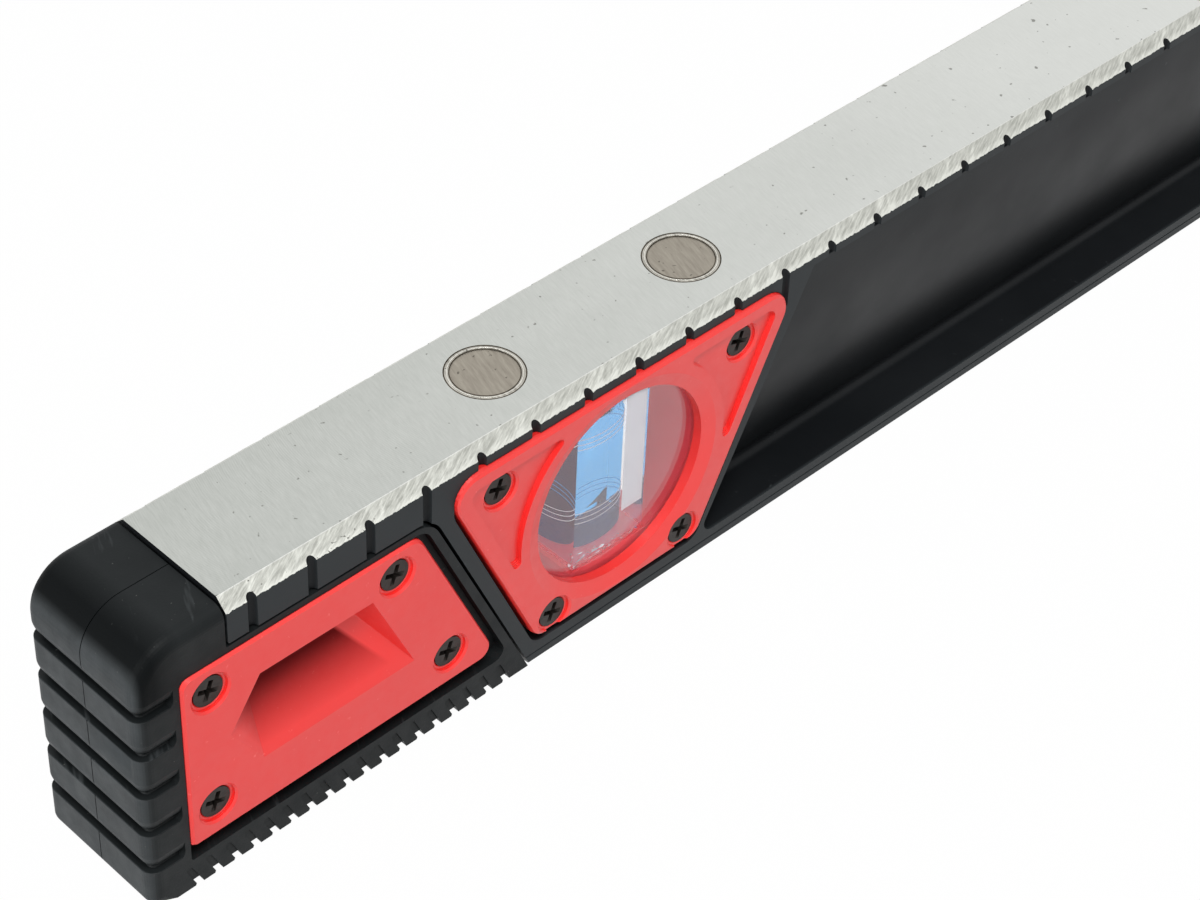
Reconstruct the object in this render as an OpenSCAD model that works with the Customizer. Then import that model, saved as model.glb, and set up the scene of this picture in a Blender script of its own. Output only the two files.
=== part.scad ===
// Magnetic spirit level, standing on its plain edge with the milled magnetic face up
// Origin: middle of the length and of the thickness, on the surface it stands on
// X runs along the level, Y across its thickness, Z up to the magnetic face

/* [Beam] */
// Length of the cast aluminium beam between the end caps' outer walls
beam_len = 760; // [560:1:1160]
// Height from the resting edge to the milled face
beam_h = 61.5; // [60:0.5:66]
// Thickness across both sides
beam_t = 29.4; // [28.4:0.2:34]
// Leg of the milled chamfer along each edge of the face
face_chamfer = 2.5; // [1.5:0.1:3]
// Height of the plain band under the chamfer
band_h = 1.6; // [1:0.1:2.4]
// Step from the band in to the side pocket
ledge = 0.5; // [0.3:0.1:0.9]
// Thickness of the web where it meets the foot
web_t = 7.2; // [5:0.1:10]
// Height of the foot along the lower edge
foot_h = 4.6; // [4:0.1:5.4]
// Radius between web and foot
web_fillet = 1.6; // [0.8:0.1:2.4]
// Corner radius of the side pockets
pocket_r = 2.4; // [1:0.1:4]
// Chamfer along the resting edge
foot_chamfer = 0.8; // [0.4:0.1:1.2]
// Width and depth of the fine line along the foot
foot_line = 0.4; // [0.2:0.1:0.6]

/* [Edge marks] */
// Distance between the notches along the band
notch_pitch = 12.7; // [10:0.1:16]
// Radius of a notch
notch_r = 1.0; // [0.6:0.1:1.4]
// How far the beam's end lies before its first notch
notch_start = 5.35; // [4:0.05:8]

/* [Vial units] */
// Distance from the first notch to the middle of the end vial unit
unit_x = 85.7; // [84:0.1:92]
// Height of the middle of the vial units
unit_z = 31.85; // [31:0.05:33]
// Height of a bezel
bezel_h = 50.2; // [49:0.1:51]
// Length of a bezel along its top edge
bezel_top = 88.4; // [86:0.1:90]
// Radius of the bezel's top corners
bezel_r_top = 5; // [3:0.1:6]
// Radius of the bezel's bottom corners
bezel_r_bottom = 3.6; // [2:0.1:4]
// How far a bezel stands proud of the beam's side
bezel_proud = 0.9; // [0.5:0.1:1.4]
// Depth of a bezel's seat in the beam's side
bezel_seat = 3.3; // [3:0.1:3.8]
// Width of the open gap under a bezel
bezel_gap = 1.6; // [0.6:0.1:2]
// Radius of the clear opening
window_r = 21; // [20.6:0.1:21.4]
// Thickness of the flange at a window's back
window_t = 1.2; // [0.8:0.1:1.6]
// Flange that holds a window, measured along its radius
window_lip = 1.0; // [0.7:0.1:1.3]
// Width of the cone that leads in to the window
cone_w = 2.9; // [2:0.1:3.2]
// Depth at which the cone ends, from the beam's side
cone_depth = 0.1; // [0:0.05:0.4]
// How far a window's face lies behind the end of the cone
window_sunk = 0.25; // [0.1:0.05:0.5]
// Depth of the sunk corner fields round the top screws
field_d = 0.9; // [0.6:0.1:1.1]
// Width of the rim round a sunk field
field_rim = 3.6; // [3.3:0.1:4.2]
// Radius of the rounded tips of a sunk field
field_tip = 0.9; // [0.7:0.05:1]
// How far the walls of a sunk field slant outwards
field_draft = 0.45; // [0.2:0.05:0.5]
// Half distance between a bezel's top screws
bezel_sx_top = 30.4; // [30:0.1:31]
// Half distance between a bezel's bottom screws
bezel_sx_bottom = 16.9; // [16.5:0.1:17.5]
// Height of the top screws over the unit's middle
bezel_sz_top = 17.0; // [16.5:0.1:17.5]
// Depth of the bottom screws under the unit's middle
bezel_sz_bottom = 21.4; // [21:0.1:21.8]

/* [Vials] */
// Wall of the barrel that carries a vial
barrel_wall = 3.1; // [2.6:0.1:3.4]
// Width of a vial's clear block
block_w = 18; // [16:0.1:20]
// Length of a vial's clear block along its bore
block_l = 36.6; // [34:0.1:37]
// Radius of a vial's bore
vial_r = 7; // [5:0.1:7.4]
// Wall that closes each end of a vial's bore
vial_end = 2.8; // [2:0.1:4]
// Length of the bubble
bubble_l = 14; // [12:0.1:14.5]
// Depth of the bubble across the bore
bubble_d = 3.2; // [2:0.1:4]

/* [End caps] */
// How far a rubber cap reaches past the beam's end
cap_end = 19.2; // [17:0.1:24]
// How far a cap stays short of the face
cap_short = 0.9; // [0.5:0.1:1.4]
// How far a cap stays short of the resting edge
cap_foot = 0.1; // [0.05:0.05:0.5]
// Open seam between cap and beam
seam = 0.5; // [0.3:0.1:0.8]
// Height of the top of a cap's side frame
frame_z = 52.4; // [51.5:0.1:53]
// Distance from the first notch to the frame's slanted edge, at the frame's top
frame_x = 39.6; // [38.5:0.1:40.2]
// Radius of the frame's top corner
frame_r = 6; // [3:0.1:8]
// Large radius between a cap's top and its end
cap_top_r = 9; // [6:0.1:11]
// Radius of a cap's upright edges and of its lower end edge
cap_edge_r = 2.6; // [2:0.1:4]
// Number of grooves round a cap
groove_n = 5; // [3:1:5]
// Distance between the grooves
groove_pitch = 9.25; // [8.5:0.05:9.4]
// Height of the top groove's ledge
groove_top = 46.1; // [45:0.1:47]
// Height over which a groove closes in, from its ledge up
groove_h = 4.8; // [3.6:0.1:6]
// Depth of a groove
groove_d = 1.7; // [1:0.1:2]
// Height of a groove's upright floor
groove_floor = 0.9; // [0.6:0.05:1.4]
// Radius of a groove's lower lip
groove_lip = 0.35; // [0.2:0.05:0.5]
// Distance from the first notch back to the grooves' ends
groove_end = 17.0; // [16.8:0.1:18]
// Gaps between teeth for each notch pitch
tooth_per_notch = 3; // [2:1:3]
// Width of the gap between two teeth
tooth_gap = 1.4; // [1:0.1:1.8]
// Depth of the gap between two teeth, in from a cap's side
tooth_d = 0.45; // [0.3:0.05:0.8]
// Height of the gap between two teeth, through the whole cap
tooth_foot = 1.4; // [1:0.1:1.8]
// Height of the teeth on a cap's side
tooth_h = 5.3; // [4.6:0.1:5.6]
// Width and depth of the parting line round a cap's middle
parting = 0.2; // [0.1:0.05:0.3]
// Thickness of the beam's tongue inside a cap
tongue_t = 9.6; // [8.6:0.1:10]
// How far the tongue reaches past the beam's end
tongue_out = 9.5; // [8.5:0.1:10.5]

/* [Cover plates] */
// Distance from the first notch back to a plate's upright edge
plate_x = 15.7; // [15:0.1:16]
// Length of a plate along its top edge
plate_top = 51.7; // [50:0.1:52]
// Height of a plate's top edge
plate_z = 50.4; // [50:0.1:50.8]
// Height of a plate
plate_h = 39.8; // [39:0.1:40]
// How far a plate stands proud of the cap
plate_proud = 0.6; // [0.3:0.1:1]
// Depth of a plate's seat in the cap
plate_seat = 2.6; // [2:0.1:3]
// Width of the open gap beside a plate
plate_gap = 2.0; // [1:0.1:2.4]
// Width of the open gap under a plate
plate_gap_low = 3.7; // [2:0.1:3.9]
// Distance from the plate's upright edge to the finger scoop's top left corner
scoop_x = 16; // [15:0.1:17]
// Distance from the plate's top edge to the finger scoop
scoop_z = 8.3; // [8:0.1:9]
// Length of the finger scoop along its top edge
scoop_w = 24.8; // [22:0.1:25]
// Height of the finger scoop
scoop_h = 20.4; // [19:0.1:21]
// How far the scoop's upright end comes to a point
scoop_nose = 6.7; // [5:0.1:7]
// Length of the ramp at the scoop's lower slanted corner
scoop_ramp = 8.4; // [7:0.1:9]
// Height of the ramp under the scoop's floor
scoop_sill = 4.6; // [3.6:0.1:5.4]
// Run of the scoop's steep walls
scoop_inset = 0.7; // [0.6:0.1:1.2]
// Radius along the edge of the scoop's floor
scoop_corner_r = 0.5; // [0.3:0.1:0.6]
// Depth of the finger scoop at its top edge
scoop_top_d = 6.9; // [5.6:0.1:7.1]
// Depth of the finger scoop at its lower edge
scoop_low_d = 1.4; // [1:0.1:2.4]
// Wall behind the finger scoop
scoop_wall = 1.4; // [1:0.1:1.8]

/* [Screws] */
// Radius of a countersunk head
head_r = 3.1; // [2.8:0.05:3.3]
// Height of a head's upright rim
head_rim = 0.25; // [0.15:0.05:0.4]
// Play between a head and its countersink
head_play = 0.05; // [0.05:0.05:0.15]
// Width of the open ring round a head
head_ring = 0.45; // [0.2:0.05:0.6]
// Width of the slanted lip round a screw's pit
pit_lip = 0.4; // [0.2:0.05:0.5]
// Radius of a shank
shank_r = 1.45; // [1.2:0.05:1.6]
// How far a head lies under the surface round it
head_sunk = 0.8; // [0.5:0.05:0.9]
// Length of a bezel's screws
bezel_screw_l = 11; // [9:0.1:12]
// Length of a cover plate's screws
plate_screw_l = 13.5; // [12:0.1:14]
// Depth of a screw hole beyond the screw's tip
hole_spare = 0.5; // [0.3:0.1:0.8]
// Width of a blade of the cross recess
cross_w = 1.0; // [0.7:0.1:1.2]
// Length across the cross recess
cross_l = 4.4; // [3.6:0.1:4.6]
// Depth of the cross recess
cross_d = 1.8; // [1.2:0.1:1.9]

/* [Magnets] */
// Radius of a magnet
magnet_r = 6.35; // [5:0.05:6.8]
// Wall of the steel cup round a magnet
cup_wall = 1.0; // [0.8:0.05:1.3]
// Depth of a steel cup
cup_d = 5; // [4:0.1:5.6]
// Floor of a steel cup
cup_floor = 1.2; // [0.8:0.1:1.6]
// Distances from the first notch to the magnets
magnet_x1 = 64.8; // [60:0.1:68]
magnet_x2 = 113.9; // [110:0.1:120]

/* [Hidden] */
$fn = 64;
// Slant of the frame, plate and bezel edges: run along X for each millimetre down
slant = 0.459;
// Play between pieces that are pushed or screwed together
play = 0.15;
// Overshoot of a cutting shape
over = 1;
half_t = beam_t / 2;
// X of the first notch at the left end, and how many notches the beam takes
x0 = -beam_len / 2 + notch_start;
notch_n = floor((beam_len - 2 * notch_start) / notch_pitch) + 1;
pocket_top = beam_h - face_chamfer - band_h;
unit_half = beam_len / 2 - notch_start - unit_x;
bezel_bottom = bezel_top - 2 * slant * bezel_h;
bezel_t = bezel_proud + bezel_seat;
barrel_r = window_r + 2.9;
barrel_bore = barrel_r - barrel_wall;
barrel_l = beam_t - 2 * bezel_seat;
block_t = barrel_l - 2 * play;
vial_l = block_l - 2 * vial_end;
land_top = bezel_top / 2 + 4.6;
land_slant = 0.505;
plate_t = plate_proud + plate_seat;
// Radius of a hole that a screw's thread fills, and of one that it passes
thread_r = shank_r + 0.05;
clear_r = shank_r + 0.25;
cup_r = magnet_r + cup_wall;
fields_r = window_r + cone_w + 2.4;
window_face = cone_depth + window_sunk;
// Radius of the convex arc of the beam's side, from the ledge down to the web
side_drop = pocket_top - foot_h;
side_in = half_t - web_t / 2 - ledge;
side_r = (side_drop * side_drop + side_in * side_in) / (2 * side_in);

// Unit vector from p to q
function unit(p, q) = (q - p) / norm(q - p);

// Corner points of an outline replaced by arcs, each with its own radius
function round_corners(pts, radii, steps = 8) = [
    for (i = [0 : len(pts) - 1])
        let (n = len(pts), p = pts[i], u = unit(p, pts[(i + n - 1) % n]), v = unit(p, pts[(i + 1) % n]),
             half = acos(u * v) / 2, t = radii[i] / tan(half), c = p + (u + v) / norm(u + v) * radii[i] / sin(half),
             s = p + u * t - c, e = p + v * t - c, turn = acos(min(1, s * e / (norm(s) * norm(e)))),
             sign = s.x * e.y - s.y * e.x > 0 ? 1 : -1)
            for (k = [0 : steps])
                let (a = sign * turn * k / steps)
                    c + [s.x * cos(a) - s.y * sin(a), s.x * sin(a) + s.y * cos(a)]];

// Trapezoid that narrows downwards on both sides, its middle at the origin
function bezel_outline(grow) =
    let (w = bezel_top / 2 + grow, z = bezel_h / 2 + grow, low = bezel_bottom / 2 + grow)
        round_corners([[-w, z], [-low, -z], [low, -z], [w, z]],
                      [bezel_r_top + grow, bezel_r_bottom + grow, bezel_r_bottom + grow, bezel_r_top + grow]);

// Outline of a cover plate, grown towards each side, in distances from the first notch
function plate_outline(left, top, right, bottom) =
    let (x = -plate_x - left, zt = plate_z + top, zb = plate_z - plate_h - bottom, xt = plate_top - plate_x + right)
        round_corners([[x, zt], [x, zb], [xt + slant * (plate_z - zb), zb], [xt - slant * top, zt]], [1.8, 0.6, 2.2, 3.6]);

// Side view of what a cap covers, in distances from the first notch
function cap_outline(back) =
    let (low = -over, x = frame_x - back)
        round_corners([[-notch_start - back, beam_h + over], [-notch_start - cap_end - over, beam_h + over],
                       [-notch_start - cap_end - over, low], [x + slant * (frame_z - low), low],
                       [x, frame_z - back], [-notch_start - back, frame_z - back]],
                      [0.1, 0.1, 0.1, 0.1, frame_r, 0.4]);

// Draws a side view at both ends of the beam, thick across Y from one depth to another
module slab(depth, thick) {
    translate([0, -half_t + depth, 0]) rotate([90, 0, 0]) translate([0, 0, -thick]) linear_extrude(thick) children();
}

// Puts a thing drawn in distances from the first notch at the left end, or mirrored at the right end
module at_end(side) {
    if (side == "left") translate([x0, 0, 0]) children();
    else mirror([1, 0, 0]) translate([x0, 0, 0]) children();
}

// Leaves a thing drawn on the front as it is, or mirrors it to the back
module on_face(face) {
    if (face == "front") children();
    else mirror([0, 1, 0]) children();
}

// Puts a thing drawn round the origin's upright axis in the middle of a vial unit
module at_unit(place) {
    shift = place == "left" ? -unit_half : place == "right" ? unit_half : 0;
    translate([shift, 0, unit_z]) children();
}

// Section of the whole beam where it is full: lands and ends
module full_section() {
    polygon([[-half_t + foot_chamfer, 0], [half_t - foot_chamfer, 0], [half_t, foot_chamfer],
             [half_t, foot_h / 2], [half_t - foot_line, foot_h / 2 + foot_line / 2], [half_t, foot_h / 2 + foot_line],
             [half_t, beam_h - face_chamfer], [half_t - face_chamfer, beam_h],
             [-half_t + face_chamfer, beam_h], [-half_t, beam_h - face_chamfer],
             [-half_t, foot_h / 2 + foot_line], [-half_t + foot_line, foot_h / 2 + foot_line / 2], [-half_t, foot_h / 2],
             [-half_t, foot_chamfer]]);
}

// Section of what a side pocket leaves: two convex sides that close in to the web
module core_section() {
    centre = half_t - ledge - side_r;
    intersection() {
        translate([centre, pocket_top]) circle(side_r, $fn = 720);
        translate([-centre, pocket_top]) circle(side_r, $fn = 720);
        translate([-half_t, 0]) square([beam_t, pocket_top + over]);
    }
    for (m = [0, 1]) mirror([m, 0]) web_corner(centre);
}

// Fillet between the convex side and the foot
module web_corner(centre) {
    z = foot_h + web_fillet;
    y = centre + sqrt(pow(side_r + web_fillet, 2) - pow(pocket_top - z, 2));
    touch = [centre, pocket_top] + ([y, z] - [centre, pocket_top]) * side_r / (side_r + web_fillet);
    difference() {
        polygon([[0, foot_h - over], [y, foot_h - over], [y, foot_h], touch, [0, touch.y]]);
        translate([y, z]) circle(web_fillet);
    }
}

// Extrudes a section along the whole beam
module along_beam(length) {
    rotate([90, 0, 90]) linear_extrude(length, center = true) children();
}

// Side view of the pocket between the end land and the middle land on one half of the beam
module pocket_view() {
    h = pocket_top - foot_h;
    up = unit_z + bezel_h / 2;
    inner = land_top + land_slant * (pocket_top - up);
    polygon(round_corners([[inner, pocket_top], [inner - land_slant * h, foot_h],
                           [unit_half - inner + land_slant * h, foot_h], [unit_half - inner, pocket_top]],
                          [0.6, pocket_r, pocket_r, 0.6]));
}

// Deepens the side pockets down to the core
module pockets() {
    difference() {
        for (face = ["front", "back"]) on_face(face)
            for (m = [0, 1]) mirror([m, 0, 0]) slab(-over, half_t + over - 0.5) pocket_view();
        along_beam(beam_len + 2 * over) core_section();
    }
}

// Notches down both bands, longer where a land carries them on
module notches() {
    for (i = [0 : notch_n - 1], s = [-1, 1])
        let (x = (i - (notch_n - 1) / 2) * notch_pitch, near = min([for (c = [-unit_half, 0, unit_half]) abs(x - c)]),
             land = near < land_top - 1 || abs(x) > unit_half, bottom = land ? frame_z - over : pocket_top - 0.05)
            translate([x, s * half_t, bottom]) cylinder(r = notch_r, h = beam_h - bottom, $fn = 24);
}

// Room that a cap, its tongue slot apart, takes from the beam
module cap_room(side) {
    at_end(side) difference() {
        slab(-over, beam_t + 2 * over) polygon(cap_outline(0));
        translate([-notch_start, -tongue_t / 2, foot_h + play]) cube([3 * frame_x, tongue_t, beam_h]);
        tongue_end(0);
    }
}

// Places of a bezel's four screws, from the unit's middle
function bezel_screws_at() = [[-bezel_sx_top, bezel_sz_top], [bezel_sx_top, bezel_sz_top],
                              [-bezel_sx_bottom, -bezel_sz_bottom], [bezel_sx_bottom, -bezel_sz_bottom]];

// Places of a cover plate's four screws, from the first notch
function plate_screws_at() =
    let (left = 5.8 - plate_x, zt = plate_z - 6, zb = plate_z - plate_h + 6.8, right = plate_top - plate_x - 8)
        [[left, zt], [left, zb], [right + slant * 6, zt], [right + slant * (plate_z - zb), zb]];

// A round hole or peg across the side, from one depth to another
module across(place, depth, length, r, r2 = -1) {
    translate([place.x, -half_t + depth, place.y]) rotate([-90, 0, 0])
        cylinder(h = length, r1 = r, r2 = r2 < 0 ? r : r2);
}

// Part of the tongue that reaches past the beam's end, grown to every side
module tongue_end(grow) {
    translate([-notch_start - tongue_out - grow, -tongue_t / 2 - grow, foot_h + play - grow])
        cube([tongue_out + grow + over, tongue_t + 2 * grow, frame_z - foot_h - 2 * play + 2 * grow]);
}

module beam() {
    color("#26282a") difference() {
        union() {
            along_beam(beam_len) full_section();
            for (side = ["left", "right"]) at_end(side) tongue_end(0);
        }
        pockets();
        notches();
        for (side = ["left", "right"]) cap_room(side);
        for (place = ["left", "middle", "right"]) at_unit(place) {
            translate([0, -half_t - over, 0]) rotate([-90, 0, 0]) cylinder(r = barrel_r + play, h = beam_t + 2 * over);
            for (face = ["front", "back"]) on_face(face) {
                slab(-over, over + bezel_seat) bezel_room();
                for (p = bezel_screws_at()) across(p, 0, bezel_screw_tip(p) + hole_spare, thread_r);
            }
        }
        for (side = ["left", "right"], face = ["front", "back"]) at_end(side) on_face(face)
            for (p = plate_screws_at()) across(p, 0, plate_screw_tip() + hole_spare, thread_r);
        for (side = ["left", "right"], x = [magnet_x1, magnet_x2]) at_end(side)
            translate([x, 0, beam_h - cup_d]) cylinder(r = cup_r + 0.05, h = cup_d + over);
    }
}

// Outline of a bezel's seat: close at the top and sides, open under it
module bezel_room() {
    polygon(bezel_outline(play));
    translate([0, -bezel_gap]) polygon(bezel_outline(play));
}

// Depth of a screw head's seat and of the screw's tip, from the beam's side
function bezel_screw_face(p) = p.y > 0 ? field_d - bezel_proud : -bezel_proud;
function bezel_screw_tip(p) = bezel_screw_face(p) + head_sunk + bezel_screw_l;
function plate_screw_tip() = head_sunk - plate_proud + plate_screw_l;

// Points of an arc, from one angle to another
function arc(centre, r, from, to, steps) =
    [for (k = [0 : steps]) centre + r * [cos(from + (to - from) * k / steps), sin(from + (to - from) * k / steps)]];

// Sunk field in a bezel's top left corner: an arc along the window's ring, two rounded tips and the bezel's own corner
function field_outline(grow) =
    let (r = fields_r - grow, t = field_tip + grow / 2, top = bezel_h / 2 - field_rim + grow, corner = 1.6 + grow,
         n = unit([0, 0], [1, slant]), d = unit([0, 0], [slant, -1]), edge = atan2(-n.y, -n.x),
         p = [-bezel_top / 2, bezel_h / 2] + n * (field_rim - grow), q = p + n * t,
         low = q + d * (-q * d - sqrt(pow(q * d, 2) - q * q + pow(r + t, 2))),
         high = [-sqrt(pow(r + t, 2) - pow(top - t, 2)), top - t],
         c = p + n * corner, out = c + d * (top - corner - c.y) / d.y)
        concat(arc(high, t, 90, atan2(-high.y, -high.x), 8),
               arc([0, 0], r, 180 + atan2(-high.y, -high.x), 180 + atan2(-low.y, -low.x), 30),
               arc(low, t, atan2(-low.y, -low.x), edge, 8), arc(out, corner, edge, -270, 6));

// The field's walls slant out in fine steps
module sunk_field() {
    for (k = [1 : 4])
        slab(-bezel_proud - over, over + field_d * k / 4) polygon(field_outline(field_draft * (4 - k) / 4));
}

// Pit with a slanted lip, countersink and clearance hole for one screw
module screw_hole(p, surface, through) {
    r = head_r + head_rim + head_play;
    pit = r + head_ring;
    across(p, surface - pit_lip, 2 * pit_lip, pit + 2 * pit_lip, pit);
    across(p, surface, head_sunk, pit);
    across(p, surface + head_sunk, r - shank_r, r, shank_r);
    across(p, surface, through, clear_r);
}

module bezel(place, face) {
    color("#e23b38") at_unit(place) on_face(face) difference() {
        hull() {
            slab(0.3, bezel_seat - 0.3) polygon(bezel_outline(0));
            slab(-bezel_proud + 0.35, 0.5) polygon(bezel_outline(-0.25));
            slab(-bezel_proud, 0.2) polygon(bezel_outline(-0.9));
        }
        across([0, 0], -bezel_proud - 0.01, bezel_proud + cone_depth + 0.01, window_r + cone_w, window_r);
        across([0, 0], cone_depth - 0.01, bezel_t, window_r);
        across([0, 0], bezel_seat - window_t - 0.05, window_t + over, window_r + window_lip + 0.1);
        for (m = [0, 1]) mirror([m, 0, 0]) sunk_field();
        for (p = bezel_screws_at()) screw_hole(p, bezel_screw_face(p), bezel_t + over);
    }
}

// Clear plug that fills the opening behind the cone, with a flange at its back
module window(place, face) {
    color("#dce6ea", 0.35) at_unit(place) on_face(face) {
        across([0, 0], window_face, bezel_seat - window_face, window_r - 0.05);
        across([0, 0], bezel_seat - window_t, window_t, window_r + window_lip);
    }
}

// Shape with its bore upright, turned flat for the middle vial
module turned(place) {
    if (place == "middle") rotate([0, 90, 0]) children();
    else children();
}

// Room for a vial's block, grown to every side
module block_room(place, grow) {
    turned(place) translate([-block_w / 2 - grow, -half_t, -block_l / 2 - grow])
        cube([block_w + 2 * grow, beam_t, block_l + 2 * grow]);
}

// Ring with two flats, between which the block stands
module barrel(place) {
    color("#b3171b") at_unit(place) difference() {
        across([0, 0], bezel_seat, barrel_l, barrel_r);
        intersection() {
            across([0, 0], bezel_seat - over, barrel_l + 2 * over, barrel_bore);
            turned(place) translate([-barrel_r, -half_t, -block_l / 2 - play])
                cube([2 * barrel_r, beam_t, block_l + 2 * play]);
        }
        block_room(place, play);
    }
}

module vial_block(place) {
    color("#e6eef2", 0.4) at_unit(place) turned(place) difference() {
        translate([-block_w / 2, -block_t / 2, -block_l / 2]) cube([block_w, block_t, block_l]);
        translate([0, 0, -vial_l / 2]) cylinder(r = vial_r, h = vial_l);
    }
}

// Coloured liquid: the bubble lies at the top of the bore, flat in an upright vial and long in the middle one
module vial_liquid(place) {
    r = vial_r - 0.05;
    color("#4aa3e6", 0.8) at_unit(place)
        if (place == "middle") difference() {
            rotate([0, 90, 0]) cylinder(r = r, h = vial_l - 0.1, center = true);
            translate([0, 0, r]) intersection() {
                translate([-bubble_l / 2, -bubble_d, -bubble_d]) cube([bubble_l, 2 * bubble_d, 2 * bubble_d]);
                rotate([0, 90, 0]) cylinder(r = bubble_d, h = bubble_l, center = true);
            }
        }
        else translate([0, 0, -vial_l / 2 + 0.05]) cylinder(r = r, h = vial_l - bubble_d);
}

// One countersunk cross-recess screw, sunk under the given depth
module screw(p, surface, length) {
    translate([p.x, -half_t + surface + head_sunk, p.y]) rotate([-90, 0, 0]) difference() {
        union() {
            cylinder(r = head_r, h = head_rim, $fn = 32);
            translate([0, 0, head_rim]) cylinder(r1 = head_r, r2 = shank_r, h = head_r - shank_r, $fn = 32);
            cylinder(r = shank_r, h = length - 1, $fn = 24);
            translate([0, 0, length - 1]) cylinder(r1 = shank_r, r2 = 0.4, h = 1, $fn = 24);
        }
        cross_recess();
    }
}

// Two crossed blades that taper towards the recess's foot
module cross_recess() {
    taper = 0.8;
    intersection() {
        for (a = [20, 110]) rotate([0, 0, a])
            translate([-cross_l / 2, -cross_w / 2, -over]) cube([cross_l, cross_w, cross_d + over]);
        translate([0, 0, -over])
            cylinder(r1 = cross_l / 2 + over * taper, r2 = cross_l / 2 - cross_d * taper, h = cross_d + over, $fn = 24);
    }
}

module bezel_screws() {
    color("#1d1d1e")
        for (place = ["left", "middle", "right"], face = ["front", "back"]) at_unit(place) on_face(face)
            for (p = bezel_screws_at()) screw(p, bezel_screw_face(p), bezel_screw_l);
}

module cover_plate_screws() {
    color("#1d1d1e")
        for (side = ["left", "right"], face = ["front", "back"]) at_end(side) on_face(face)
            for (p = plate_screws_at()) screw(p, -plate_proud, plate_screw_l);
}

// Finger scoop, seen from the side: its rim on the plate's face, and its floor
function scoop_left() = scoop_x - plate_x;
function scoop_high() = plate_z - scoop_z;
function scoop_rim() =
    let (x = scoop_left(), z = scoop_high())
        [[x, z], [x - scoop_nose, z - scoop_h / 2], [x, z - scoop_h],
         [x + scoop_w + slant * scoop_h, z - scoop_h], [x + scoop_w, z]];
function scoop_floor() =
    let (x = scoop_left(), z = scoop_high() - scoop_inset, low = scoop_high() - scoop_h + scoop_sill)
        [[x + scoop_inset, z], [x + scoop_inset, low + scoop_h * 0.28], [x + scoop_ramp * 0.33, low],
         [x + scoop_w + slant * scoop_h - scoop_ramp, low], [x + scoop_w - scoop_ramp / 2, z]];

// Depth of the scoop's floor, from the plate's face, at a height
function scoop_depth(z) =
    let (low = scoop_high() - scoop_h + scoop_sill)
        scoop_low_d + (scoop_top_d - scoop_low_d) * (z - low) / (scoop_high() - scoop_inset - low);

// Prism with slanted walls between the scoop's rim and its floor, which is deepest at the top
module scoop_cut() {
    r = scoop_corner_r;
    hull() {
        slab(-plate_proud - 0.2, 0.2) polygon(scoop_rim());
        for (p = scoop_floor()) translate([p.x, -half_t - plate_proud + scoop_depth(p.y) - r, p.y]) sphere(r, $fn = 16);
    }
}

module cover_plate(side, face) {
    color("#e23b38") at_end(side) on_face(face) difference() {
        union() {
            hull() {
                slab(0, plate_seat) polygon(plate_outline(0, 0, 0, 0));
                slab(-plate_proud, 0.3) polygon(plate_outline(-0.4, -0.4, -0.4, -0.4));
            }
            slab(plate_seat - 0.01, scoop_back() - plate_seat) polygon(scoop_boss(0));
        }
        scoop_cut();
        for (p = plate_screws_at()) screw_hole(p, -plate_proud, plate_t + over);
    }
}

// Outline of the boss behind the scoop, grown to every side, and the depth of its back
function scoop_boss(grow) =
    let (x = scoop_left() - grow, z = scoop_high() + scoop_wall + grow, low = scoop_high() - scoop_h - scoop_wall - grow,
         right = scoop_left() + scoop_w + grow)
        [[x - 0.8 * scoop_nose, z], [x - 0.8 * scoop_nose, low], [right + 0.7 * slant * scoop_h, low], [right, z]];
function scoop_back() = scoop_top_d - plate_proud + scoop_wall;

// Rounded outer form of a cap, before its side view is cut out
module cap_form() {
    left = -notch_start - cap_end;
    top = beam_h - cap_short;
    hull() {
        translate([left + cap_top_r, 0, top - cap_top_r]) rotate([90, 0, 0]) rounded_disc(cap_top_r, cap_edge_r);
        for (s = [-1, 1]) translate([left + cap_edge_r, s * (half_t - cap_edge_r), cap_foot + cap_edge_r])
            sphere(r = cap_edge_r, $fn = 32);
        for (s = [-1, 1]) translate([2 * frame_x, s * (half_t - cap_edge_r), top - cap_edge_r])
            rotate([0, 90, 0]) cylinder(r = cap_edge_r, h = 1, $fn = 32);
        translate([2 * frame_x, -half_t, cap_foot]) cube([1, beam_t, 10]);
        translate([left + 2 * cap_edge_r, -half_t, cap_foot]) cube([1, beam_t, 1]);
    }
}

// Disc as thick as the beam with rounded rims
module rounded_disc(r, edge) {
    for (s = [-1, 1]) translate([0, 0, s * (half_t - edge)])
        rotate_extrude($fn = 64) translate([r - edge, 0]) circle(edge, $fn = 32);
}

// Section of a groove as depths and heights from its ledge: a rounded lip, an upright floor and a long bulging roof
// It crosses the cap's surface at an angle on both sides
function groove_section() =
    let (lip = groove_lip, cross = 0.08)
        concat([[-over, -lip - over]], arc([lip - cross, -lip], lip, 160, 90, 4),
               [[groove_d - 0.25, 0], [groove_d, 0.25]],
               [for (k = [0 : 9]) let (a = 90 - 81 * k / 9)
                   [groove_d * (1 - cos(a)) - cross * k / 9, groove_h - (groove_h - groove_floor) * sin(a)]],
               [[-over, groove_h + over]]);

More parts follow.
